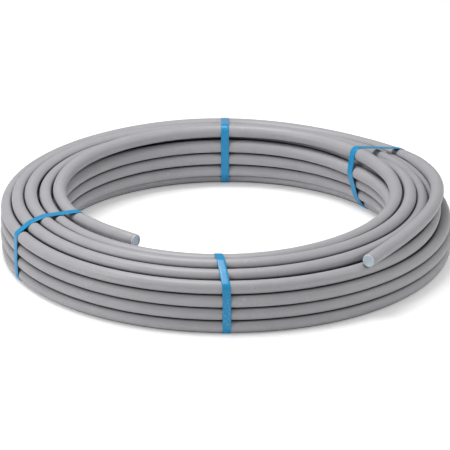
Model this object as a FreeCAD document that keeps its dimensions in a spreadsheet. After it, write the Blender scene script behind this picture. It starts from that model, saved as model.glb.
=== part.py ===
import FreeCAD, Part
import math
import os
import Sketcher

# A coil of multilayer plumbing pipe, lying flat, held by four flat plastic straps, with a plug
# in each end of the pipe.  Millimetres, +Z up, origin on the floor at the coil's axis.

doc = FreeCAD.newDocument("pipe_coil")

sizes = doc.addObject("Spreadsheet::Sheet", "Sizes")
drivingDimensions = (
    ("pipe_diameter", 26, "outside diameter of the pipe"),
    ("pipe_wall", 3, "wall of the pipe"),
    ("coil_diameter", 875, "outside diameter of the coil"),
    ("column_spacing", 22.8, "between the axes of two neighbouring columns of turns"),
    ("row_play", 0.2, "gap between two turns of a column"),
    ("groove_angle", 22, "half of the arc of a turn that is hidden against the next one, degrees"),
    ("bore_depth", 34, "depth of the open bore at a free end"),
    ("strap_width", 16, "width of a strap"),
    ("strap_thickness", 0.8, "thickness of a strap"),
    ("strap_play", 0.2, "gap between a strap and the turns"),
    ("plug_length", 18, "part of a plug inside the pipe"),
    ("plug_play", 0.15, "gap all round between a plug and the bore"),
    ("plug_wall", 1.5, "wall of a plug's hollow shank"),
    ("flange_setback", 0.75, "from the outside of the pipe in to the edge of a plug's flange"),
    ("flange_thickness", 3.5, "thickness of a plug's flange"),
    ("flange_rounding", 1.2, "rounding of the flange's outer edge"),
)
for line, (name, value, note) in enumerate(drivingDimensions, start=1):
    sizes.set(f"A{line}", name)
    sizes.set(f"B{line}", str(value))
    sizes.set(f"C{line}", note)
    sizes.setAlias(f"B{line}", name)
doc.recompute()

# Columns of turns from the outside of the coil inwards: how many half pipe diameters the
# lowest axis is above the coil's underside, and how many turns stand in the column.
columns = ((1, 4), (2, 4), (1, 5), (2, 4), (3, 4))

# Where each strap goes round the bundle, degrees from +X.
strapAngles = {"strap_right": 41, "strap_back": 90, "strap_left": 199, "strap_front": 270}

# Free stretches of the pipe: angle round the coil in degrees, then how far the axis is outside
# and above the axis of the turn that the stretch leaves, in millimetres.
innerEndRoute = ((203, 1, -4), (211, -20, -4), (219, -30, -4), (227, -33.5, -4), (235, -32.5, -4))
outerEndRoute = ((24, -2, 2), (14, -1, 13), (4, -3, 25), (-6, -6, 31), (-15, -9, 33), (-25, -13, 33),
                 (-35, -12, 32), (-44, -2.5, 29), (-51.6, 15, 25))

pipeRadius = sizes.pipe_diameter / 2
undersideHeight = sizes.strap_thickness + sizes.strap_play
rowSpacing = sizes.pipe_diameter + sizes.row_play
grooveAngle = math.radians(sizes.groove_angle)


def axisRadius(column):
    return sizes.coil_diameter / 2 - pipeRadius - column * sizes.column_spacing


def axisHeight(column, row):
    return undersideHeight + columns[column][0] * pipeRadius + row * rowSpacing


def axisPoint(column, row):
    return FreeCAD.Vector(axisRadius(column), axisHeight(column, row), 0)


def radiusExpression(column):
    return f"Sizes.coil_diameter / 2 - Sizes.pipe_diameter / 2 - {column} * Sizes.column_spacing"


def heightExpression(column, row):
    underside = "Sizes.strap_thickness + Sizes.strap_play"
    first = f"{columns[column][0]} * Sizes.pipe_diameter / 2"
    return f"{underside} + {first} + {row} * (Sizes.pipe_diameter + Sizes.row_play)"


def angleTo(start, end):
    return math.atan2(end.y - start.y, end.x - start.x)


def newBody(label):
    body = doc.addObject("PartDesign::Body", label)
    body.Label = label
    return body


def newSketch(body, name, role):
    plane = next(item for item in body.Origin.OriginFeatures if item.Role == role)
    sketch = body.newObject("Sketcher::SketchObject", name)
    sketch.AttachmentSupport = [(plane, "")]
    sketch.MapMode = "FlatFace"
    return sketch


def bind(sketch, constraint, expression):
    index = sketch.addConstraint(constraint)
    sketch.setExpression(f"Constraints[{index}]", expression)


def arcLoop(sketch, turns, radius, radiusText, spans):
    # one arc about the axis of each turn in the list, and a straight edge from each to the next
    up = FreeCAD.Vector(0, 0, 1)
    arcs = []
    for (column, row), (first, last) in zip(turns, spans):
        circle = Part.Circle(axisPoint(column, row), up, radius)
        arc = sketch.addGeometry(Part.ArcOfCircle(circle, first, last))
        arcs.append(arc)
        bind(sketch, Sketcher.Constraint("Radius", arc, radius), radiusText)
        across = Sketcher.Constraint("DistanceX", -1, 1, arc, 3, axisRadius(column))
        bind(sketch, across, radiusExpression(column))
        above = Sketcher.Constraint("DistanceY", -1, 1, arc, 3, axisHeight(column, row))
        bind(sketch, above, heightExpression(column, row))
    for arc, following in zip(arcs, arcs[1:] + arcs[:1]):
        start = sketch.getPoint(arc, 2)
        end = sketch.getPoint(following, 1)
        edge = sketch.addGeometry(Part.LineSegment(start, end))
        sketch.addConstraint(Sketcher.Constraint("Coincident", arc, 2, edge, 1))
        sketch.addConstraint(Sketcher.Constraint("Coincident", edge, 2, following, 1))


def outlineTurns():
    # up the outer column, inwards over the tops, down the inner column, outwards underneath
    inner = len(columns) - 1
    between = range(1, inner)
    outerColumn = [(0, row) for row in range(columns[0][1])]
    tops = [(column, columns[column][1] - 1) for column in between]
    innerColumn = [(inner, row) for row in reversed(range(columns[inner][1]))]
    bottoms = [(column, 0) for column in reversed(between)]
    return outerColumn + tops + innerColumn + bottoms


def grooveSpans(turns):
    spans = []
    for index, turn in enumerate(turns):
        here = axisPoint(*turn)
        first = angleTo(here, axisPoint(*turns[index - 1])) + grooveAngle
        last = angleTo(here, axisPoint(*turns[(index + 1) % len(turns)])) - grooveAngle
        spans.append((first, first + (last - first) % (2 * math.pi)))
    return spans


def hullTurns(turns):
    # the turns that a strap pulled tight round the bundle bends over, in the same order
    def bends(before, turn, after):
        inward = axisPoint(*turn) - axisPoint(*before)
        outward = axisPoint(*after) - axisPoint(*turn)
        return inward.x * outward.y - inward.y * outward.x > pipeRadius

    hull = list(turns)
    straight = True
    while straight:
        kept = [turn for index, turn in enumerate(hull)
                if bends(hull[index - 1], turn, hull[(index + 1) % len(hull)])]
        straight = len(kept) < len(hull)
        hull = kept
    return hull


def tightSpans(turns):
    spans = []
    for index, turn in enumerate(turns):
        here = axisPoint(*turn)
        first = angleTo(axisPoint(*turns[index - 1]), here) - math.pi / 2
        last = angleTo(here, axisPoint(*turns[(index + 1) % len(turns)])) - math.pi / 2
        spans.append((first, first + (last - first) % (2 * math.pi)))
    return spans


def makeCoiledTurns():
    body = newBody("coiled_turns")
    sketch = newSketch(body, "bundle_section", "XZ_Plane")
    turns = outlineTurns()
    arcLoop(sketch, turns, pipeRadius, "Sizes.pipe_diameter / 2", grooveSpans(turns))
    ring = body.newObject("PartDesign::Revolution", "turned_bundle")
    ring.Profile = sketch
    ring.ReferenceAxis = (sketch, ["V_Axis"])
    ring.Angle = 360
    return body


def routePoints(route, column):
    # the turn that a free stretch leaves is the top one of its column
    radius = axisRadius(column)
    height = axisHeight(column, columns[column][1] - 1)
    points = []
    for angle, outside, above in route:
        turn = math.radians(angle)
        reach = radius + outside
        points.append(FreeCAD.Vector(reach * math.cos(turn), reach * math.sin(turn), height + above))
    return points


def routeWire(points, name):
    # straight runs joined by tangent arcs, each as large as its two runs allow
    arcShare = 0.45
    edges = []
    start = points[0]
    for before, corner, after in zip(points, points[1:], points[2:]):
        arriving = (corner - before).normalize()
        leaving = (after - corner).normalize()
        shorter = min((corner - before).Length, (after - corner).Length)
        halfTurn = arriving.getAngle(leaving) / 2
        radius = arcShare * shorter / math.tan(halfTurn)
        print(f"{name}: bend radius {radius:.0f} mm")
        arcStart = corner - arriving * (arcShare * shorter)
        arcEnd = corner + leaving * (arcShare * shorter)
        towardsCentre = (leaving - arriving).normalize()
        middle = corner + towardsCentre * (radius / math.cos(halfTurn) - radius)
        edges.append(Part.LineSegment(start, arcStart).toShape())
        edges.append(Part.Arc(arcStart, middle, arcEnd).toShape())
        start = arcEnd
    edges.append(Part.LineSegment(start, points[-1]).toShape())
    return Part.Wire(edges)


def makeFreeStretch(name, route, column):
    wire = routeWire(routePoints(route, column), name)
    path = doc.addObject("Part::Feature", f"{name}_path")
    path.Shape = wire
    section = doc.addObject("Part::Circle", f"{name}_section")
    section.setExpression("Radius", "Sizes.pipe_diameter / 2")
    start, following = routePoints(route, column)[:2]
    section.Placement = FreeCAD.Placement(start, turnFromZ(following - start))
    stretch = doc.addObject("Part::Sweep", name)
    stretch.Sections = [section]
    stretch.Spine = (path, [f"Edge{index}" for index in range(1, len(wire.Edges) + 1)])
    stretch.Solid = True
    stretch.Frenet = False
    doc.recompute()
    expected = math.pi * pipeRadius ** 2 * wire.Length
    print(f"{name}: {wire.Length:.0f} mm long, volume {stretch.Shape.Volume / expected:.4f} of section x length")
    return stretch


def turnFromZ(direction):
    return FreeCAD.Rotation(FreeCAD.Vector(0, 0, 1), direction)


def endPlacement(route, column):
    # at the middle of a free end's cut face, +Z out of the pipe
    before, end = routePoints(route, column)[-2:]
    return FreeCAD.Placement(end, turnFromZ(end - before))


def makeBore(name, placement):
    bore = doc.addObject("Part::Cylinder", name)
    bore.setExpression("Radius", "Sizes.pipe_diameter / 2 - Sizes.pipe_wall")
    bore.setExpression("Height", "Sizes.bore_depth")
    bore.Placement = placement.multiply(FreeCAD.Placement(FreeCAD.Vector(0, 0, -sizes.bore_depth),
                                                          FreeCAD.Rotation()))
    return bore


def makePipe():
    innermost = len(columns) - 1
    ends = (("inner_free_end", innerEndRoute, innermost), ("outer_free_end", outerEndRoute, 0))
    solids = [makeCoiledTurns()]
    bores = []
    for name, route, column in ends:
        solids.append(makeFreeStretch(name, route, column))
        bores.append(makeBore(f"{name}_bore", endPlacement(route, column)))
    joined = doc.addObject("Part::MultiFuse", "turns_and_ends")
    joined.Shapes = solids
    hollows = doc.addObject("Part::MultiFuse", "open_bores")
    hollows.Shapes = bores
    pipe = doc.addObject("Part::Cut", "pipe")
    pipe.Label = "pipe"
    pipe.Base = joined
    pipe.Tool = hollows
    return pipe


def makePlug(label, placement):
    # hollow shank inside the bore, closed by a flange with a rounded edge against the cut face
    body = newBody(label)
    sketch = newSketch(body, f"{label}_section", "XZ_Plane")
    shank = pipeRadius - sizes.pipe_wall - sizes.plug_play
    hollow = shank - sizes.plug_wall
    flange = pipeRadius - sizes.flange_setback
    corners = ((0, 0), (hollow, 0), (hollow, -sizes.plug_length), (shank, -sizes.plug_length),
               (shank, 0), (flange, 0), (flange, sizes.flange_thickness), (0, sizes.flange_thickness))
    vectors = [FreeCAD.Vector(across, along, 0) for across, along in corners]
    for start, end in zip(vectors, vectors[1:] + vectors[:1]):
        sketch.addGeometry(Part.LineSegment(start, end))
    count = len(corners)
    for edge in range(count):
        sketch.addConstraint(Sketcher.Constraint("Coincident", edge, 2, (edge + 1) % count, 1))
    for edge in (0, 2, 4, 6):
        sketch.addConstraint(Sketcher.Constraint("Horizontal", edge))
    for edge in (1, 3, 5, 7):
        sketch.addConstraint(Sketcher.Constraint("Vertical", edge))
    sketch.addConstraint(Sketcher.Constraint("Coincident", 0, 1, -1, 1))
    boreText = "Sizes.pipe_diameter / 2 - Sizes.pipe_wall - Sizes.plug_play"
    bind(sketch, Sketcher.Constraint("DistanceX", 0, 1, 0, 2, hollow), f"{boreText} - Sizes.plug_wall")
    bind(sketch, Sketcher.Constraint("DistanceX", -1, 1, 3, 1, shank), boreText)
    bind(sketch, Sketcher.Constraint("DistanceY", 1, 2, 1, 1, sizes.plug_length), "Sizes.plug_length")
    sketch.addConstraint(Sketcher.Constraint("PointOnObject", 4, 1, -1))
    bind(sketch, Sketcher.Constraint("DistanceX", -1, 1, 5, 1, flange),
         "Sizes.pipe_diameter / 2 - Sizes.flange_setback")
    bind(sketch, Sketcher.Constraint("DistanceY", 5, 1, 5, 2, sizes.flange_thickness),
         "Sizes.flange_thickness")
    turned = body.newObject("PartDesign::Revolution", f"{label}_turned")
    turned.Profile = sketch
    turned.ReferenceAxis = (sketch, ["V_Axis"])
    turned.Angle = 360
    doc.recompute()
    rim = next(f"Edge{index}" for index, edge in enumerate(turned.Shape.Edges, start=1)
               if edge.BoundBox.ZMin > sizes.flange_thickness / 2
               and edge.BoundBox.XLength > 2 * flange - sizes.plug_play)
    rounded = body.newObject("PartDesign::Fillet", f"{label}_rounded")
    rounded.Base = (turned, [rim])
    rounded.setExpression("Radius", "Sizes.flange_rounding")
    body.Placement = placement
    return body


def makeStrap(label, angle):
    body = newBody(label)
    sketch = newSketch(body, f"{label}_loop", "XZ_Plane")
    turns = hullTurns(outlineTurns())
    spans = tightSpans(turns)
    insideText = "Sizes.pipe_diameter / 2 + Sizes.strap_play"
    inside = pipeRadius + sizes.strap_play
    arcLoop(sketch, turns, inside, insideText, spans)
    outside = inside + sizes.strap_thickness
    arcLoop(sketch, turns, outside, f"{insideText} + Sizes.strap_thickness", spans)
    band = body.newObject("PartDesign::Pad", f"{label}_band")
    band.Profile = sketch
    band.setExpression("Length", "Sizes.strap_width")
    band.Midplane = True
    body.Placement = FreeCAD.Placement(FreeCAD.Vector(),
                                       FreeCAD.Rotation(FreeCAD.Vector(0, 0, 1), angle))
    return body


pieces = [makePipe()]
pieces.append(makePlug("inner_end_plug", endPlacement(innerEndRoute, len(columns) - 1)))
pieces.append(makePlug("outer_end_plug", endPlacement(outerEndRoute, 0)))
for strapLabel, strapAngle in strapAngles.items():
    pieces.append(makeStrap(strapLabel, strapAngle))
doc.recompute()

coiledLength = sum(2 * math.pi * axisRadius(column) * count
                   for column, (start, count) in enumerate(columns))
print(f"{sum(count for start, count in columns)} turns, {coiledLength / 1000:.2f} m of pipe in them")

for item in doc.Objects:
    if "Invalid" in item.State or "Error" in item.State:
        raise RuntimeError(f"{item.Label} failed to build")
for piece in pieces:
    if piece.Shape.isNull() or not piece.Shape.isValid() or len(piece.Shape.Solids) != 1:
        raise RuntimeError(f"{piece.Label} isn't one valid solid")

os.makedirs("parts", exist_ok=True)
for piece in pieces:
    piece.Shape.exportStep(f"parts/{piece.Label}.step")
    box = piece.Shape.BoundBox
    print(piece.Label, f"{piece.Shape.Volume:.0f} mm3",
          f"{box.XMin:.1f} {box.YMin:.1f} {box.ZMin:.1f} to {box.XMax:.1f} {box.YMax:.1f} {box.ZMax:.1f}")
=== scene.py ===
# A flat coil of grey plumbing pipe, plugged at both ends and held by four blue straps.
# Metres, +Z up. The coil's axis is the Z axis and the floor is at zero.

import math

import bpy
import numpy as np
from mathutils import Matrix, Vector


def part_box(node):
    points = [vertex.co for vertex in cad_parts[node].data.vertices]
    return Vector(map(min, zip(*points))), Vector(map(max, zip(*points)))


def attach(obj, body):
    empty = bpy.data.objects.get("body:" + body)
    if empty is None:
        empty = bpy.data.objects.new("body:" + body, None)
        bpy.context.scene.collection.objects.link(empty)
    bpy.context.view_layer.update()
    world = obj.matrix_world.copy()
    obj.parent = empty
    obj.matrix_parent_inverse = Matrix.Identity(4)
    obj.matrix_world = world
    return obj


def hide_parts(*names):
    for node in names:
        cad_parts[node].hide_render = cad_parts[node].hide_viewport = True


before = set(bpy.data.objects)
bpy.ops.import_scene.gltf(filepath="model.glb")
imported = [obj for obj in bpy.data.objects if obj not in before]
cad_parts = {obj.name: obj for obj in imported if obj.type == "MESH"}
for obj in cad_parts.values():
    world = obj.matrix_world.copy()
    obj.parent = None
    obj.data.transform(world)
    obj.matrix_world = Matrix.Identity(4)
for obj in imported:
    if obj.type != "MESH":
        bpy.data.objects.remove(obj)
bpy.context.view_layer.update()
pipeLow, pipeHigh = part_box("pipe")
print("frame loaded")


# How the pipe runs. It was wound from the inside outwards, clockwise seen from above.

pipe = {
    "diameter": 0.026,
    "wall": 0.003,
    "foilDepth": 0.0013,         # of the aluminium layer under the outside
    "foilThickness": 0.0005,
    "length": 50.0,
    "boreShown": 0.012,          # how deep the open bore goes behind a cut face
    "edgeRound": 0.0004,         # of the cut ends' outer edge
    "sides": 24,
}
pipe["radius"] = pipe["diameter"] / 2

winding = {
    "columnSpacing": 0.0228,     # between the two outermost columns of turns
    "columns": 5,
    "outerTopHeight": 0.0926,    # axis of the top turn of the outermost column
    "innerTopHeight": 0.1186,    # axis of the top turn of the innermost column
    "stationsPerTurn": 48,
    "curveSteps": 3,             # rings of the pipe to a station
}
outerAxis = pipeHigh[0] - pipe["radius"]
innerAxis = outerAxis - (winding["columns"] - 1) * winding["columnSpacing"]
stationAngle = 360 / winding["stationsPerTurn"]

# Free ends: degrees round the coil, then how far the axis is outside and above the axis of the
# top turn of the innermost column, and of the outermost one.
innerEnd = ((235, -0.0325, -0.004), (227, -0.0335, -0.004), (219, -0.030, -0.004),
            (211, -0.024, -0.003), (204, -0.0135, -0.001))
outerEnd = ((24, -0.001, 0.017), (14, -0.003, 0.022), (4, -0.006, 0.028), (-6, -0.0085, 0.031),
            (-15, -0.0095, 0.031), (-25, -0.0115, 0.0275), (-35, -0.0090, 0.0245),
            (-44, -0.001, 0.022), (-51.6, 0.015, 0.021))

# The turns, from the inner end to the outer one: degrees travelled, radius and height of the
# axis in pipe diameters, and how firmly the pipe is held there. A turn takes 360 degrees off.
topTurns = ((235, 11.57, 4.37, 3), (219, 11.66, 4.37, 3), (204, 12.3, 4.48, 3), (199, 12.45, 4.55, 3),
            (180, 12.52, 4.6, 3), (135, 12.6, 4.55, 3), (90, 12.73, 4.52, 3), (41, 12.68, 4.6, 3),
            (0, 12.86, 4.6, 3), (-45, 13.2, 4.5, 3), (-90, 13.6, 4.42, 3), (-161, 13.55, 4.42, 3),
            (-180, 13.52, 4.4, 3), (-220, 13.5, 4.15, 0.5), (-270, 13.5, 3.85, 3),
            (-319, 13.5, 3.6, 0.3), (-335, 13.75, 3.35, 0.6), (-350, 13.75, 3.35, 0.3),
            (-395, 13.5, 3.4, 0.1))
innerSlots = ((12.75, 3.2, 1), (12.85, 2.25, 1), (13.02, 1.32, 1), (13.55, 0.5, 1),
              (13.8, 1.5, 0.05))
middleTurns = ((-2250, 13.8, 2.5, 0.05), (-2430, 13.8, 2.5, 0.05), (-2475, 13.9, 3.1, 0.05),
               (-2500, 14.0, 4.3, 1.5), (-2520, 14.04, 4.4, 3), (-2565, 14.3, 4.45, 3),
               (-2610, 14.6, 4.49, 3),
               (-2700, 14.64, 4.35, 3), (-2745, 14.5, 4.0, 1), (-2790, 14.45, 3.8, 3),
               (-2839, 14.55, 3.85, 3), (-2860, 14.8, 3.85, 3), (-2880, 14.85, 3.95, 3),
               (-2915, 15.0, 4.1, 3),
               (-2970, 15.5, 4.04, 3), (-3060, 15.59, 4.15, 3), (-3112, 15.4, 3.9, 0.3),
               (-3145, 15.5, 3.1, 0.3))
outerSlots = ((15.47, 3.0, 0.05), (16.33, 2.49, 0.9), (16.33, 1.49, 0.9), (16.2, 0.5, 0.9),
              (15.35, 1.0, 0.05), (14.55, 0.5, 0.05), (14.6, 1.5, 0.05), (15.47, 2.0, 0.05),
              (14.6, 2.5, 0.05), (14.6, 3.5, 0.05))
lastTurns = ((-6748, 14.6, 3.3, 0.1), (-6775, 15.1, 3.7, 0.3), (-6799, 15.45, 3.75, 3),
             (-6820, 15.45, 3.85, 3), (-6840, 15.55, 3.8, 3), (-6850, 15.7, 3.7, 3),
             (-6865, 16.1, 3.5, 3), (-6890, 16.25, 3.45, 3), (-6930, 16.33, 3.49, 3),
             (-7020, 16.4, 3.45, 3), (-7110, 16.3, 3.66, 3), (-7135, 16.3, 3.42, 3),
             (-7148, 16.3, 3.35, 3), (-7159, 16.3, 3.45, 3), (-7178, 16.3, 3.95, 3),
             (-7192, 16.15, 4.45, 3), (-7203, 16.0, 4.7, 3), (-7212, 15.95, 4.72, 3),
             (-7222, 15.9, 4.6, 3), (-7235, 15.85, 4.45, 3), (-7251.5, 16.9, 4.3, 3))
innerSlotStart = -450            # the degrees travelled where the first slot below the top begins
outerSlotStart = -3165
innerSlotArc = 310               # how much of its turn the pipe stays in one slot
outerSlotArc = 320
changeBulge = 0.5                # how far the outer turns swell out where they change slots
coilStart, coilEnd = 197.5, -7167.5    # between the two free ends


def heldTurns():
    # every place the pipe is laid through, in the order of winding
    held = list(topTurns)
    for turn, (radius, height, hold) in enumerate(innerSlots):
        start = innerSlotStart - 360 * turn
        held += [(start, radius, height, hold), (start - 180, radius, height, hold)]
        held += [(start - 238, radius + 0.15, height, 1.5 * hold)]
        held += [(start - innerSlotArc, radius + 0.2, height, hold)]
    held += middleTurns
    for turn, (radius, height, hold) in enumerate(outerSlots):
        start = outerSlotStart - 360 * turn
        held += [(start, radius, height, hold), (start - outerSlotArc, radius, height, hold)]
        if turn < len(outerSlots) - 1:
            after = outerSlots[turn + 1]
            held.append((start - (outerSlotArc + 360) / 2, (radius + after[0]) / 2 + changeBulge,
                         (height + after[1]) / 2, 0.01))
    return np.array(held + list(lastTurns))


def averaged(values, passes):
    for _ in range(passes):
        values = values.copy()
        values[1:-1] = (values[:-2] + 2 * values[1:-1] + values[2:]) / 4
    return values


settling = {
    "rounds": ((600, 0.01), (400, 0.001)),   # how many steps, and how hard the pull to the plan
    "push": 0.55,
    "evenShift": 0.1,            # evens how far neighbouring stations have moved
    "evenShape": 0.02,           # straightens the pipe itself
    "looseness": 0.06,           # of a station that is held by nothing
}


def settleTurns():
    # the turns as planned lie partly in each other, so they are pushed apart; a little overlap stays
    plan = heldTurns()
    travelled = plan[0, 0] - plan[:, 0]
    stations = np.arange(0, travelled[-1], stationAngle)
    places = [np.interp(stations, travelled, plan[:, column]) for column in (1, 2)]
    planned = averaged(np.stack(places, axis=1), 3)
    hold = np.interp(stations, travelled, plan[:, 3])
    ease = 1 / (settling["looseness"] + hold)
    laid = planned.copy()
    turn = winding["stationsPerTurn"]
    for steps, pull in settling["rounds"]:
        for _ in range(steps):
            shift = np.zeros_like(laid)
            for apart in range(turn, len(laid), turn):
                across = laid[apart:] - laid[:-apart]
                distance = np.linalg.norm(across, axis=1)
                overlap = np.maximum(0, 1 - distance)
                if not overlap.any():
                    continue
                away = across / np.maximum(distance, 1e-6)[:, None]
                both = ease[:-apart] + ease[apart:]
                shift[:-apart] -= away * (overlap * ease[:-apart] / both)[:, None]
                shift[apart:] += away * (overlap * ease[apart:] / both)[:, None]
            laid = laid + settling["push"] * shift + (planned - laid) * (pull * hold)[:, None]
            for base, share in ((planned, settling["evenShift"]), (0 * planned, settling["evenShape"])):
                moved = laid - base
                laid[1:-1] += share * ((moved[:-2] + moved[2:]) / 2 - moved[1:-1])
            laid[:, 1] = np.maximum(laid[:, 1], 0.5)
    return plan[0, 0] - stations, laid


def polar(angle, radius, height):
    turned = math.radians(angle)
    return (radius * math.cos(turned), radius * math.sin(turned), height)


def routePoints():
    angles, laid = settleTurns()
    points = [polar(angle, innerAxis + outside, winding["innerTopHeight"] + above)
              for angle, outside, above in innerEnd]
    # the curve runs a little inside its points on a bend
    reach = pipe["diameter"] / math.cos(math.radians(stationAngle / 2))
    for angle, (radius, height) in zip(angles, laid):
        if coilEnd <= angle <= coilStart:
            points.append(polar(angle, radius * reach, height * pipe["diameter"] + pipeLow[2]))
    points += [polar(angle, outerAxis + outside, winding["outerTopHeight"] + above)
               for angle, outside, above in outerEnd]
    return points


def splineLine(points):
    # the pipe's centre line as one smooth curve, read back as points
    curve = bpy.data.curves.new("pipeLine", "CURVE")
    curve.dimensions = "3D"
    curve.resolution_u = winding["curveSteps"]
    spline = curve.splines.new("NURBS")
    spline.points.add(len(points) - 1)
    for point, place in zip(spline.points, points):
        point.co = (*place, 1)
    spline.order_u = 3
    spline.use_endpoint_u = True
    line = bpy.data.objects.new("pipeLine", curve)
    mesh = bpy.data.meshes.new_from_object(line)
    centres = np.empty(len(mesh.vertices) * 3)
    mesh.vertices.foreach_get("co", centres)
    bpy.data.meshes.remove(mesh)
    bpy.data.objects.remove(line)
    bpy.data.curves.remove(curve)
    centres = centres.reshape(-1, 3)
    fresh = np.ones(len(centres), bool)
    fresh[1:] = np.linalg.norm(np.diff(centres, axis=0), axis=1) > 1e-5
    return centres[fresh]


def directionsAlong(centres):
    along = np.gradient(centres, axis=0)
    return along / np.linalg.norm(along, axis=1)[:, None]


def newPiece(name, vertices, faces, materials, faceMaterials=None, smooth=True):
    mesh = bpy.data.meshes.new(name)
    mesh.from_pydata([tuple(vertex) for vertex in vertices], [], [tuple(face) for face in faces])
    for material in materials:
        mesh.materials.append(material)
    if faceMaterials is not None:
        mesh.polygons.foreach_set("material_index", faceMaterials)
    mesh.polygons.foreach_set("use_smooth", [smooth] * len(mesh.polygons))
    mesh.update()
    piece = bpy.data.objects.new(name, mesh)
    bpy.context.scene.collection.objects.link(piece)
    return piece


def endRings(centre, outwards):
    # from the outside of a cut end inwards: centre, radius and material of each ring
    radius = pipe["radius"]
    edge = pipe["edgeRound"]
    foil = radius - pipe["foilDepth"]
    bore = radius - pipe["wall"]
    rings = ((0, radius - edge * 0.3, 0), (0.7, radius - edge, 0), (0.7, foil, 0),
             (0.7, foil - pipe["foilThickness"], 1), (0.7, bore, 2))
    placed = [(centre + outwards * edge * out, size, slot) for out, size, slot in rings]
    placed.append((centre - outwards * pipe["boreShown"], bore, 2))
    placed.append((centre - outwards * pipe["boreShown"], bore * 0.02, 2))
    return placed


def makePipe(centres, materials):
    along = directionsAlong(centres)
    side = np.cross(along, (0, 0, 1))
    side /= np.linalg.norm(side, axis=1)[:, None]
    up = np.cross(side, along)
    travelled = np.concatenate(([0], np.cumsum(np.linalg.norm(np.diff(centres, axis=0), axis=1))))
    first = endRings(centres[0], -along[0])
    last = endRings(centres[-1], along[-1])
    sequence = [(place, size, slot, 0) for place, size, slot in reversed(first)]
    sequence += [(centres[index], pipe["radius"], 0, index) for index in range(1, len(centres) - 1)]
    sequence += [(place, size, slot, len(centres) - 1) for place, size, slot in last]
    sides = pipe["sides"]
    around = 2 * math.pi * np.arange(sides) / sides
    vertices = []
    for place, size, slot, index in sequence:
        spread = np.outer(np.cos(around), side[index]) + np.outer(np.sin(around), up[index])
        vertices.append(place + size * spread)
    vertices = np.concatenate(vertices)
    count = len(sequence)
    ring = np.repeat(np.arange(count - 1), sides)
    step = np.tile(np.arange(sides), count - 1)
    following = (step + 1) % sides
    faces = np.stack([ring * sides + step, ring * sides + following,
                      (ring + 1) * sides + following, (ring + 1) * sides + step], axis=1)
    slots = np.array([max(before[2], after[2]) for before, after in zip(sequence, sequence[1:])])
    piece = newPiece("coiledPipe", vertices, faces, materials, np.repeat(slots, sides))
    layer = piece.data.uv_layers.new(name="alongPipe")
    distance = travelled[[index for place, size, slot, index in sequence]]
    across = np.stack([distance[ring], distance[ring], distance[ring + 1], distance[ring + 1]], axis=1)
    turned = np.stack([step, step + 1, step + 1, step], axis=1) / sides
    layer.data.foreach_set("uv", np.stack([across, turned], axis=2).ravel())
    print("pipe:", len(centres), "rings,", round(float(travelled[-1]), 2), "m")
    return piece, float(travelled[-1])


# Straps. Each goes round the whole bundle, pulled tight from crest to crest.

straps = {
    "width": 0.016,
    "thickness": 0.0008,
    "play": 0.0002,
    "edgeRound": 0.0004,
    "directions": 240,           # points round the loop
    # the angle at the outside and at the inside of the coil
    "places": {"strap_right": (36, 36.5), "strap_back": (90, 90),
               "strap_left": (203.5, 205), "strap_front": (270, 267.5)},
}


def turnsAt(centres, angle, outerRadius, innerRadius, innerAngle):
    # radius and height of every turn where the strap's plane cuts it
    turned = -np.unwrap(np.arctan2(centres[:, 1], centres[:, 0]))
    radii = np.hypot(centres[:, 0], centres[:, 1])
    found = []
    first = math.ceil((turned[0] + math.radians(angle)) / (2 * math.pi) - 1)
    for turn in range(first, first + 24):
        here = math.radians(-angle) + 2 * math.pi * turn
        for _ in range(2):
            radius = np.interp(here, turned, radii)
            inwards = (outerRadius - radius) / (outerRadius - innerRadius)
            lean = math.radians(innerAngle - angle) * inwards
            here = math.radians(-angle) + 2 * math.pi * turn - lean
        if turned[0] <= here <= turned[-1]:
            found.append((np.interp(here, turned, radii), np.interp(here, turned, centres[:, 2])))
    return np.array(found)


def tightLoop(turns, stand):
    # the point of the loop that faces each direction, from the outside of the coil upwards
    facing = 2 * math.pi * np.arange(straps["directions"]) / straps["directions"]
    ways = np.stack([np.cos(facing), np.sin(facing)], axis=1)
    furthest = np.argmax(turns @ ways.T, axis=0)
    return turns[furthest] + stand * ways


def makeStrap(name, centres, materials):
    outerAngle, innerAngle = straps["places"][name]
    outerRadius, innerRadius = outerAxis, innerAxis
    half = straps["width"] / 2
    edge = straps["edgeRound"]
    inner = pipe["radius"] + straps["play"]
    outer = inner + straps["thickness"]
    middle = (outerRadius + innerRadius) / 2
    # across the strap and away from the turns, once round its section
    section = ((-half, inner + edge), (-half + edge, inner), (0, inner), (half - edge, inner),
               (half, inner + edge), (half - edge, outer), (half * 0.5, outer), (0, outer),
               (-half * 0.5, outer), (-half + edge, outer))
    loops = []
    for across, stand in section:
        shift = math.degrees(across / middle)
        turns = turnsAt(centres, outerAngle + shift, outerRadius, innerRadius, innerAngle + shift)
        loop = tightLoop(turns, stand)
        inwards = (outerRadius - loop[:, 0]) / (outerRadius - innerRadius)
        angles = np.radians(outerAngle + (innerAngle - outerAngle) * inwards) + across / loop[:, 0]
        loops.append(np.stack([loop[:, 0] * np.cos(angles), loop[:, 0] * np.sin(angles), loop[:, 1]], axis=1))
    vertices = np.stack(loops, axis=1)
    places, points = vertices.shape[:2]
    faces = []
    for place in range(places):
        after = (place + 1) % places
        for point in range(points):
            onward = (point + 1) % points
            faces.append((place * points + point, place * points + onward,
                          after * points + onward, after * points + point))
    return newPiece(name + "_band", vertices.reshape(-1, 3), faces, materials)


# Plugs in the ends of the pipe: a flange with a rounded edge and a shallow round dish.

plug = {
    "flangeRadius": 0.01225,
    "flangeThickness": 0.0035,
    "flangeRound": 0.0012,
    "shankRadius": 0.00985,
    "shankLength": 0.010,
    "dishRadius": 0.0082,
    "dishDepth": 0.0012,
    "sides": 48,
    "roundSteps": 5,
}


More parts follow.
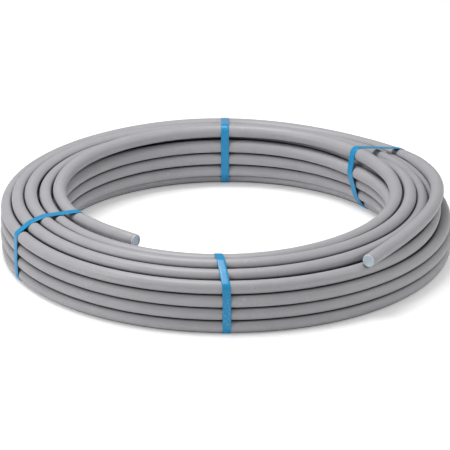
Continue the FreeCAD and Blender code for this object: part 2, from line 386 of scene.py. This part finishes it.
def plugProfile():
    # radius and distance out of the pipe, from the middle of the dish round to the shank
    thick, rounding, flange = plug["flangeThickness"], plug["flangeRound"], plug["flangeRadius"]
    profile = [(0.0, thick - plug["dishDepth"]), (plug["dishRadius"] * 0.5, thick - plug["dishDepth"]),
               (plug["dishRadius"] - 0.0012, thick - plug["dishDepth"]),
               (plug["dishRadius"] - 0.0004, thick - plug["dishDepth"] * 0.5), (plug["dishRadius"], thick)]
    for step in range(plug["roundSteps"] + 1):
        turn = math.pi / 2 * (1 - step / plug["roundSteps"])
        profile.append((flange - rounding + rounding * math.cos(turn),
                        thick - rounding + rounding * math.sin(turn)))
    profile += [(flange, 0.0001), (flange - 0.0002, 0.0), (plug["shankRadius"], 0.0),
                (plug["shankRadius"], -plug["shankLength"]), (0.0, -plug["shankLength"])]
    return profile


def makePlug(name, centre, outwards, materials):
    profile = plugProfile()
    sides = plug["sides"]
    turned = Vector(outwards).to_track_quat("Z", "Y").to_matrix().to_4x4()
    place = Matrix.Translation(Vector(centre) + Vector(outwards) * pipe["edgeRound"] * 0.7) @ turned
    vertices = []
    for radius, height in profile:
        for step in range(sides):
            angle = 2 * math.pi * step / sides
            vertices.append(place @ Vector((radius * math.cos(angle), radius * math.sin(angle), height)))
    faces = []
    for ring in range(len(profile) - 1):
        for step in range(sides):
            after = (step + 1) % sides
            faces.append((ring * sides + step, (ring + 1) * sides + step,
                          (ring + 1) * sides + after, ring * sides + after))
    piece = newPiece(name, vertices, faces, materials)
    weld = piece.modifiers.new("closeMiddles", "WELD")
    weld.merge_threshold = 1e-6
    return piece


# Materials

def newMaterial(name):
    material = bpy.data.materials.new(name)
    material.use_nodes = True
    nodes = material.node_tree.nodes
    return material, nodes, material.node_tree.links, nodes["Principled BSDF"]


def addNode(nodes, kind, settings=(), inputs=()):
    node = nodes.new(kind)
    for name, value in dict(settings).items():
        setattr(node, name, value)
    for name, value in dict(inputs).items():
        node.inputs[name].default_value = value
    return node


def newGroup(name, inputs, outputs):
    # inputs: name, socket type and value; outputs: name and socket type
    group = bpy.data.node_groups.new(name, "ShaderNodeTree")
    for label, kind, value in inputs:
        socket = group.interface.new_socket(label, in_out="INPUT", socket_type=kind)
        if value is not None:
            socket.default_value = value
    for label, kind in outputs:
        group.interface.new_socket(label, in_out="OUTPUT", socket_type=kind)
    start = group.nodes.new("NodeGroupInput")
    end = group.nodes.new("NodeGroupOutput")
    return group, group.nodes, group.links, start, end


def patchyGroup():
    # a mask of soft blotches with finer specks in them
    group, nodes, links, start, end = newGroup(
        "softBlotches",
        (("Vector", "NodeSocketVector", None), ("Blotch Scale", "NodeSocketFloat", 20.0),
         ("Speck Scale", "NodeSocketFloat", 300.0), ("Speck Share", "NodeSocketFloat", 0.4)),
        (("Mask", "NodeSocketFloat"),))
    blotches = addNode(nodes, "ShaderNodeTexNoise", inputs={"Detail": 3.0})
    specks = addNode(nodes, "ShaderNodeTexNoise", inputs={"Detail": 2.0})
    mix = addNode(nodes, "ShaderNodeMix", {"data_type": "FLOAT"})
    links.new(start.outputs["Vector"], blotches.inputs["Vector"])
    links.new(start.outputs["Vector"], specks.inputs["Vector"])
    links.new(start.outputs["Blotch Scale"], blotches.inputs["Scale"])
    links.new(start.outputs["Speck Scale"], specks.inputs["Scale"])
    links.new(start.outputs["Speck Share"], mix.inputs["Factor"])
    links.new(blotches.outputs["Fac"], mix.inputs["A"])
    links.new(specks.outputs["Fac"], mix.inputs["B"])
    links.new(mix.outputs["Result"], end.inputs["Mask"])
    return group


def scuffGroup():
    # a mask of sparse scratches: thin contour lines of a stretched noise, kept only in patches
    group, nodes, links, start, end = newGroup(
        "sparseScuffs",
        (("Vector", "NodeSocketVector", None), ("Scale", "NodeSocketFloat", 30.0),
         ("Width", "NodeSocketFloat", 0.012), ("Amount", "NodeSocketFloat", 0.5)),
        (("Mask", "NodeSocketFloat"),))
    lines = addNode(nodes, "ShaderNodeTexNoise", inputs={"Detail": 1.0})
    centred = addNode(nodes, "ShaderNodeMath", {"operation": "SUBTRACT"}, {1: 0.5})
    size = addNode(nodes, "ShaderNodeMath", {"operation": "ABSOLUTE"})
    thin = addNode(nodes, "ShaderNodeMapRange", inputs={"From Min": 0.0, "To Min": 1.0, "To Max": 0.0})
    where = addNode(nodes, "ShaderNodeTexNoise", inputs={"Detail": 2.0, "Scale": 9.0})
    patches = addNode(nodes, "ShaderNodeMapRange", inputs={"From Min": 0.52, "From Max": 0.62})
    kept = addNode(nodes, "ShaderNodeMath", {"operation": "MULTIPLY"})
    amount = addNode(nodes, "ShaderNodeMath", {"operation": "MULTIPLY"})
    links.new(start.outputs["Vector"], lines.inputs["Vector"])
    links.new(start.outputs["Scale"], lines.inputs["Scale"])
    links.new(lines.outputs["Fac"], centred.inputs[0])
    links.new(centred.outputs[0], size.inputs[0])
    links.new(size.outputs[0], thin.inputs["Value"])
    links.new(start.outputs["Width"], thin.inputs["From Max"])
    links.new(start.outputs["Vector"], where.inputs["Vector"])
    links.new(where.outputs["Fac"], patches.inputs["Value"])
    links.new(thin.outputs["Result"], kept.inputs[0])
    links.new(patches.outputs["Result"], kept.inputs[1])
    links.new(kept.outputs[0], amount.inputs[0])
    links.new(start.outputs["Amount"], amount.inputs[1])
    links.new(amount.outputs[0], end.inputs["Mask"])
    return group


def placeGroup(nodes, group, inputs=()):
    node = nodes.new("ShaderNodeGroup")
    node.node_tree = group
    for name, value in dict(inputs).items():
        node.inputs[name].default_value = value
    return node


def mixColours(nodes, links, factor, first, second):
    mix = addNode(nodes, "ShaderNodeMix", {"data_type": "RGBA"})
    if isinstance(factor, float):
        mix.inputs["Factor"].default_value = factor
    else:
        links.new(factor, mix.inputs["Factor"])
    for socket, colour in ((mix.inputs[6], first), (mix.inputs[7], second)):
        if isinstance(colour, tuple):
            socket.default_value = (*colour, 1)
        else:
            links.new(colour, socket)
    return mix.outputs[2]


pipeFinish = {
    "grooveReach": 0.010,        # how near another turn the painted groove shade reaches
    # the colour of the painted shade in the grooves between turns
    "paintedGrooveShade": (0.020, 0.020, 0.023),
    "grey": (0.415, 0.410, 0.430),
    "paleGrey": (0.540, 0.534, 0.556),
    "deepGrey": (0.300, 0.296, 0.314),
    "scuffGrey": (0.60, 0.595, 0.61),
    "roughness": (0.36, 0.52),
    "specular": 0.45,
    "grainDepth": 0.00006,
    "streakDepth": 0.0001,
}


def pipeMaterial(blotches, scuffs):
    material, nodes, links, shader = newMaterial("greyPipe")
    flow = addNode(nodes, "ShaderNodeUVMap", {"uv_map": "alongPipe"})
    place = addNode(nodes, "ShaderNodeTexCoord")
    patch = placeGroup(nodes, blotches, {"Blotch Scale": 26.0, "Speck Scale": 420.0, "Speck Share": 0.5})
    links.new(place.outputs["Object"], patch.inputs["Vector"])
    # fine drawing lines along the pipe
    lengthwise = addNode(nodes, "ShaderNodeMapping")
    lengthwise.inputs["Scale"].default_value = (1.4, 60.0, 1.0)
    links.new(flow.outputs["UV"], lengthwise.inputs["Vector"])
    streaks = addNode(nodes, "ShaderNodeTexNoise", inputs={"Scale": 1.0, "Detail": 3.0})
    links.new(lengthwise.outputs["Vector"], streaks.inputs["Vector"])
    marks = placeGroup(nodes, scuffs, {"Scale": 55.0, "Width": 0.010, "Amount": 0.5})
    links.new(place.outputs["Object"], marks.inputs["Vector"])
    shade = mixColours(nodes, links, patch.outputs["Mask"], pipeFinish["deepGrey"], pipeFinish["paleGrey"])
    streaked = mixColours(nodes, links, streaks.outputs["Fac"],
                          pipeFinish["deepGrey"], pipeFinish["paleGrey"])
    base = mixColours(nodes, links, 0.35, shade, streaked)
    toned = mixColours(nodes, links, 0.35, base, pipeFinish["grey"])
    worn = mixColours(nodes, links, marks.outputs["Mask"], toned, pipeFinish["scuffGrey"])
    # painted shade where two turns touch: an ambient occlusion node darkens the pipe's colour in the grooves
    near = addNode(nodes, "ShaderNodeAmbientOcclusion", inputs={"Distance": pipeFinish["grooveReach"]})
    groove = addNode(nodes, "ShaderNodeMapRange", inputs={"From Min": 0.22, "From Max": 0.72})
    links.new(near.outputs["AO"], groove.inputs["Value"])
    grooveShadedColour = mixColours(nodes, links, groove.outputs["Result"], pipeFinish["paintedGrooveShade"], worn)
    links.new(grooveShadedColour, shader.inputs["Base Color"])
    rough = addNode(nodes, "ShaderNodeMapRange", inputs={"To Min": pipeFinish["roughness"][0],
                                                         "To Max": pipeFinish["roughness"][1]})
    links.new(patch.outputs["Mask"], rough.inputs["Value"])
    links.new(rough.outputs["Result"], shader.inputs["Roughness"])
    shader.inputs["Specular IOR Level"].default_value = pipeFinish["specular"]
    grain = addNode(nodes, "ShaderNodeBump", inputs={"Strength": 0.5, "Distance": pipeFinish["grainDepth"]})
    links.new(patch.outputs["Mask"], grain.inputs["Height"])
    lines = addNode(nodes, "ShaderNodeBump", inputs={"Strength": 0.4, "Distance": pipeFinish["streakDepth"]})
    links.new(streaks.outputs["Fac"], lines.inputs["Height"])
    links.new(grain.outputs["Normal"], lines.inputs["Normal"])
    links.new(lines.outputs["Normal"], shader.inputs["Normal"])
    return material


def foilMaterial(blotches):
    material, nodes, links, shader = newMaterial("aluminiumLayer")
    place = addNode(nodes, "ShaderNodeTexCoord")
    patch = placeGroup(nodes, blotches, {"Blotch Scale": 200.0, "Speck Scale": 2500.0})
    links.new(place.outputs["Object"], patch.inputs["Vector"])
    links.new(mixColours(nodes, links, patch.outputs["Mask"], (0.55, 0.56, 0.58), (0.75, 0.76, 0.78)),
              shader.inputs["Base Color"])
    shader.inputs["Metallic"].default_value = 1.0
    shader.inputs["Roughness"].default_value = 0.4
    return material


def liningMaterial(blotches):
    material, nodes, links, shader = newMaterial("whiteLining")
    place = addNode(nodes, "ShaderNodeTexCoord")
    patch = placeGroup(nodes, blotches, {"Blotch Scale": 120.0, "Speck Scale": 1500.0})
    links.new(place.outputs["Object"], patch.inputs["Vector"])
    links.new(mixColours(nodes, links, patch.outputs["Mask"], (0.62, 0.63, 0.64), (0.72, 0.73, 0.74)),
              shader.inputs["Base Color"])
    shader.inputs["Roughness"].default_value = 0.5
    return material


plugFinish = {
    "milky": (0.52, 0.61, 0.68),
    "clear": (0.66, 0.75, 0.80),
    "roughness": 0.32,
}


def plugMaterial(blotches, scuffs):
    material, nodes, links, shader = newMaterial("milkyPlug")
    place = addNode(nodes, "ShaderNodeTexCoord")
    patch = placeGroup(nodes, blotches, {"Blotch Scale": 160.0, "Speck Scale": 1200.0, "Speck Share": 0.3})
    links.new(place.outputs["Object"], patch.inputs["Vector"])
    links.new(mixColours(nodes, links, patch.outputs["Mask"], plugFinish["milky"], plugFinish["clear"]),
              shader.inputs["Base Color"])
    marks = placeGroup(nodes, scuffs, {"Scale": 220.0, "Width": 0.02, "Amount": 0.5})
    links.new(place.outputs["Object"], marks.inputs["Vector"])
    rough = addNode(nodes, "ShaderNodeMapRange", inputs={"To Min": plugFinish["roughness"], "To Max": 0.6})
    links.new(marks.outputs["Mask"], rough.inputs["Value"])
    links.new(rough.outputs["Result"], shader.inputs["Roughness"])
    bump = addNode(nodes, "ShaderNodeBump", inputs={"Strength": 0.3, "Distance": 0.0001})
    links.new(patch.outputs["Mask"], bump.inputs["Height"])
    links.new(bump.outputs["Normal"], shader.inputs["Normal"])
    shader.inputs["Subsurface Weight"].default_value = 0.35
    shader.inputs["Subsurface Radius"].default_value = (0.004, 0.005, 0.006)
    return material


strapFinish = {
    "blue": (0.003, 0.245, 0.530),
    "paleBlue": (0.015, 0.330, 0.640),
    "wornBlue": (0.25, 0.55, 0.78),
    "roughness": (0.26, 0.42),
    "embossScale": 420.0,
    "embossDepth": 0.00018,
}


def strapMaterial(blotches, scuffs):
    material, nodes, links, shader = newMaterial("blueStrap")
    place = addNode(nodes, "ShaderNodeTexCoord")
    patch = placeGroup(nodes, blotches, {"Blotch Scale": 60.0, "Speck Scale": 900.0, "Speck Share": 0.35})
    links.new(place.outputs["Object"], patch.inputs["Vector"])
    marks = placeGroup(nodes, scuffs, {"Scale": 120.0, "Width": 0.03, "Amount": 0.6})
    links.new(place.outputs["Object"], marks.inputs["Vector"])
    base = mixColours(nodes, links, patch.outputs["Mask"], strapFinish["blue"], strapFinish["paleBlue"])
    worn = mixColours(nodes, links, marks.outputs["Mask"], base, strapFinish["wornBlue"])
    links.new(worn, shader.inputs["Base Color"])
    rough = addNode(nodes, "ShaderNodeMapRange", inputs={"To Min": strapFinish["roughness"][0],
                                                         "To Max": strapFinish["roughness"][1]})
    links.new(patch.outputs["Mask"], rough.inputs["Value"])
    links.new(rough.outputs["Result"], shader.inputs["Roughness"])
    emboss = addNode(nodes, "ShaderNodeTexVoronoi", inputs={"Scale": strapFinish["embossScale"],
                                                            "Randomness": 0.15})
    links.new(place.outputs["Object"], emboss.inputs["Vector"])
    bump = addNode(nodes, "ShaderNodeBump", inputs={"Strength": 0.5, "Distance": strapFinish["embossDepth"]})
    links.new(emboss.outputs["Distance"], bump.inputs["Height"])
    links.new(bump.outputs["Normal"], shader.inputs["Normal"])
    return material


blotches = patchyGroup()
scuffs = scuffGroup()
pipeMaterials = [pipeMaterial(blotches, scuffs), foilMaterial(blotches), liningMaterial(blotches)]
plugMaterials = [plugMaterial(blotches, scuffs)]
strapMaterials = [strapMaterial(blotches, scuffs)]
print("materials made")

centres = splineLine(routePoints())
print("pipe laid")
coiledPipe, coiledLength = makePipe(centres, pipeMaterials)
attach(coiledPipe, "root")
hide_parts("pipe")

ends = directionsAlong(centres)
innerPlug = makePlug("innerEndPlug", centres[0], -ends[0], plugMaterials)
outerPlug = makePlug("outerEndPlug", centres[-1], ends[-1], plugMaterials)
for piece, node in ((innerPlug, "inner_end_plug"), (outerPlug, "outer_end_plug")):
    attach(piece, "root")
    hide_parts(node)
print("plugs made")

for strapName in straps["places"]:
    strap = makeStrap(strapName, centres, strapMaterials)
    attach(strap, "root")
    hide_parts(strapName)
print("straps made")


# Floor, light and camera

studio = {
    "floorSize": 30.0,
    "floorColour": (0.90, 0.90, 0.90),
    "floorGlow": 0.30,           # seen by the camera only, so the floor reads as white
    "worldLight": 0.27,
    "lamps": (
        # name, place, size, power
        ("topLamp", (-0.6, 0.1, 2.9), 1.5, 60.0),
        ("leftLamp", (-3.0, -1.6, 1.6), 1.2, 35.0),
        ("rightLamp", (2.8, -0.9, 1.5), 1.2, 20.0),
    ),
    "lampTarget": (0.0, 0.0, 0.06),
}


def makeFloor():
    half = studio["floorSize"] / 2
    corners = ((-half, -half, 0), (half, -half, 0), (half, half, 0), (-half, half, 0))
    material, nodes, links, shader = newMaterial("paleFloor")
    shader.inputs["Base Color"].default_value = (*studio["floorColour"], 1)
    shader.inputs["Roughness"].default_value = 0.9
    shader.inputs["Specular IOR Level"].default_value = 0.1
    shader.inputs["Emission Color"].default_value = (1, 1, 1, 1)
    rays = nodes.new("ShaderNodeLightPath")
    glow = addNode(nodes, "ShaderNodeMath", {"operation": "MULTIPLY"}, {1: studio["floorGlow"]})
    links.new(rays.outputs["Is Camera Ray"], glow.inputs[0])
    links.new(glow.outputs[0], shader.inputs["Emission Strength"])
    floor = newPiece("floor", corners, [(0, 1, 2, 3)], [material], smooth=False)


def makeWorld():
    world = bpy.data.worlds.new("studio")
    bpy.context.scene.world = world
    world.use_nodes = True
    nodes, links = world.node_tree.nodes, world.node_tree.links
    light = nodes["Background"]
    light.inputs["Color"].default_value = (1, 1, 1, 1)
    rays = nodes.new("ShaderNodeLightPath")
    seen = addNode(nodes, "ShaderNodeMapRange", inputs={"To Min": studio["worldLight"], "To Max": 1.0})
    links.new(rays.outputs["Is Camera Ray"], seen.inputs["Value"])
    links.new(seen.outputs["Result"], light.inputs["Strength"])


def makeLamps():
    target = Vector(studio["lampTarget"])
    for name, place, size, power in studio["lamps"]:
        data = bpy.data.lights.new(name, "AREA")
        data.shape = "DISK"
        data.size = size
        data.energy = power
        lamp = bpy.data.objects.new(name, data)
        lamp.location = place
        lamp.rotation_euler = (target - lamp.location).to_track_quat("-Z", "Y").to_euler()
        bpy.context.scene.collection.objects.link(lamp)


view = {
    "elevation": 22.0,
    "distance": 9.854,
    "lens": 401.4,
    "sensor": 36.0,
    "aimHeight": 0.0472,
}


def makeCamera():
    data = bpy.data.cameras.new("camera")
    data.lens = view["lens"]
    data.sensor_width = view["sensor"]
    data.clip_end = 100.0
    camera = bpy.data.objects.new("camera", data)
    rise = math.radians(view["elevation"])
    aim = Vector((0, 0, view["aimHeight"]))
    camera.location = aim + view["distance"] * Vector((0, -math.cos(rise), math.sin(rise)))
    camera.rotation_euler = (math.pi / 2 - rise, 0, 0)
    bpy.context.scene.collection.objects.link(camera)
    bpy.context.scene.camera = camera


makeFloor()
makeWorld()
makeLamps()
makeCamera()
bpy.context.scene.view_settings.view_transform = "Standard"
print("studio set")
